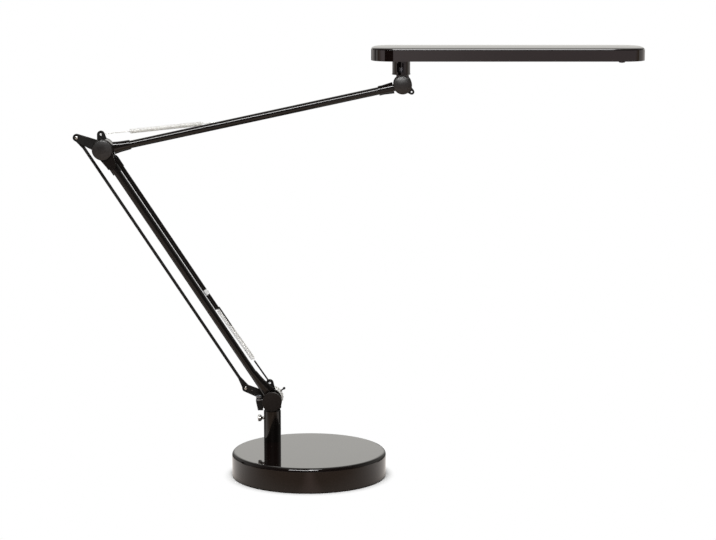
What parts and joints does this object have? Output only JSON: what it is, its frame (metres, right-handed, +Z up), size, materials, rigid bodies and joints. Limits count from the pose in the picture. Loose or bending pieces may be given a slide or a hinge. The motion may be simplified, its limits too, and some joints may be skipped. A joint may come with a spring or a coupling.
{
  "type": "desk lamp",
  "caption": "Balanced-arm desk lamp: weighted round base, turning post, sprung arms kept square by a parallel rod, and a flat LED head that tilts and swivels.",
  "frame": {"origin": "centre of the base's underside, where it stands on the desk", "axes": "+Z up, +X along the arms towards the head's free end, -Y towards the viewer"},
  "size_m": [0.7398, 0.2012, 0.5541],
  "materials": {
    "gloss_black": "piano-black moulding with a clear gloss",
    "black_paint": "black paint, satin to gloss",
    "satin_black": "satin black moulding",
    "steel": "bright zinc-plated steel",
    "spring_wire": "bright drawn wire",
    "iron": "rough casting",
    "pad_rubber": "matt rubber sheet",
    "bearing_plastic": "waxy black bearing plastic",
    "diffuser_white": "milky light-spreading sheet",
    "reflector_white": "white moulding",
    "board_white": "white-coated circuit board",
    "led_amber": "phosphor-filled resin",
    "button_black": "gloss black key"
  },
  "bodies": {
    "base": {"base_shell": "gloss_black", "base_weight": "iron", "base_plate": "steel", "base_pad": "pad_rubber", "base_screws": "steel", "power_inlet": "satin_black", "post": "black_paint", "post_bolt": "steel", "post_washer": "steel", "post_spacer": "steel", "post_bush": "bearing_plastic"},
    "lock_screw": {"lock_screw": "steel"},
    "bracket": {"lower_hub": "black_paint", "swivel_pin": "steel", "lower_plate": "black_paint", "lower_washer": "bearing_plastic", "lower_bolt": "steel", "lower_cap": "satin_black", "adjuster_lug": "satin_black", "adjuster_screw": "steel"},
    "friction_knob": {"friction_knob": "steel", "knob_lever": "satin_black"},
    "lower_arm": {"lower_root": "black_paint", "lower_tube": "black_paint", "elbow_ferrule": "black_paint", "spring_sleeve": "black_paint", "spring_pin": "steel", "elbow_bolt": "steel", "elbow_nut": "steel", "elbow_front_cap": "satin_black", "elbow_rear_cap": "satin_black", "elbow_washer": "bearing_plastic", "lower_spring": "spring_wire"},
    "rod": {"parallel_rod": "black_paint", "rod_rivets": "steel"},
    "elbow_plate": {"elbow_plate": "black_paint"},
    "upper_arm": {"upper_root": "black_paint", "upper_tube": "black_paint", "upper_collar": "black_paint", "upper_tip": "black_paint", "spring_stud": "steel", "upper_spring": "spring_wire"},
    "head_hub": {"head_hub": "black_paint", "head_bolt": "steel", "head_nut": "steel", "head_front_cap": "satin_black", "head_rear_cap": "satin_black", "head_ear": "black_paint", "peg_screw": "steel"},
    "head": {"swivel_socket": "black_paint", "head_housing": "gloss_black", "head_cover": "gloss_black", "diffuser": "diffuser_white", "reflector_frame": "reflector_white", "led_board": "board_white", "leds": "led_amber", "board_screws": "steel", "socket_screws": "steel", "switch_board": "board_white"},
    "button": {"button": "button_black"}
  },
  "joints": [
    {"name": "base_swivel", "type": "hinge", "parent": "base", "child": "bracket", "pos_m": [-0.04945, 0.05302, 0.0741], "axis": [0, 0, 1], "continuous": true},
    {"name": "lock_screw_turn", "type": "hinge", "parent": "base", "child": "lock_screw", "pos_m": [-0.06144, 0.05302, 0.0633], "axis": [1, 0, 0], "range_deg": [0, 360]},
    {"name": "friction_knob_turn", "type": "hinge", "parent": "bracket", "child": "friction_knob", "pos_m": [-0.04945, 0.05302, 0.088], "axis": [0, 1, 0], "range_deg": [-180, 180]},
    {"name": "lower_arm_tilt", "type": "hinge", "parent": "bracket", "child": "lower_arm", "pos_m": [-0.04945, 0.05302, 0.088], "axis": [0, 1, 0], "range_deg": [-8, 63], "deforming": ["lower_spring"]},
    {"name": "parallel_rod_tilt", "type": "hinge", "parent": "bracket", "child": "rod", "pos_m": [-0.08445, 0.05302, 0.1023], "axis": [0, 1, 0], "range_deg": [-8, 63]},
    {"name": "elbow_plate_tilt", "type": "hinge", "parent": "lower_arm", "child": "elbow_plate", "pos_m": [-0.2671, 0.05302, 0.42061], "axis": [0, 1, 0], "range_deg": [-63, 8]},
    {"name": "upper_arm_tilt", "type": "hinge", "parent": "elbow_plate", "child": "upper_arm", "pos_m": [-0.2671, 0.05302, 0.42061], "axis": [0, 1, 0], "range_deg": [-60, 16], "deforming": ["upper_spring"]},
    {"name": "head_tilt", "type": "hinge", "parent": "upper_arm", "child": "head_hub", "pos_m": [0.12142, 0.05302, 0.50462], "axis": [0, 1, 0], "range_deg": [-35, 60]},
    {"name": "head_swivel", "type": "hinge", "parent": "head_hub", "child": "head", "pos_m": [0.11962, 0.05302, 0.52462], "axis": [0, 0, 1], "range_deg": [-90, 90]},
    {"name": "button_press", "type": "slide", "parent": "head", "child": "button", "axis": [0, 0, 1], "range_m": [0, 0.0008], "stiffness_N_per_m": 1500, "springref_m": -0.0005}
  ],
  "couplings": [
    {"joint": "parallel_rod_tilt", "follows": "lower_arm_tilt", "ratio": 1},
    {"joint": "elbow_plate_tilt", "follows": "lower_arm_tilt", "ratio": -1}
  ]
}
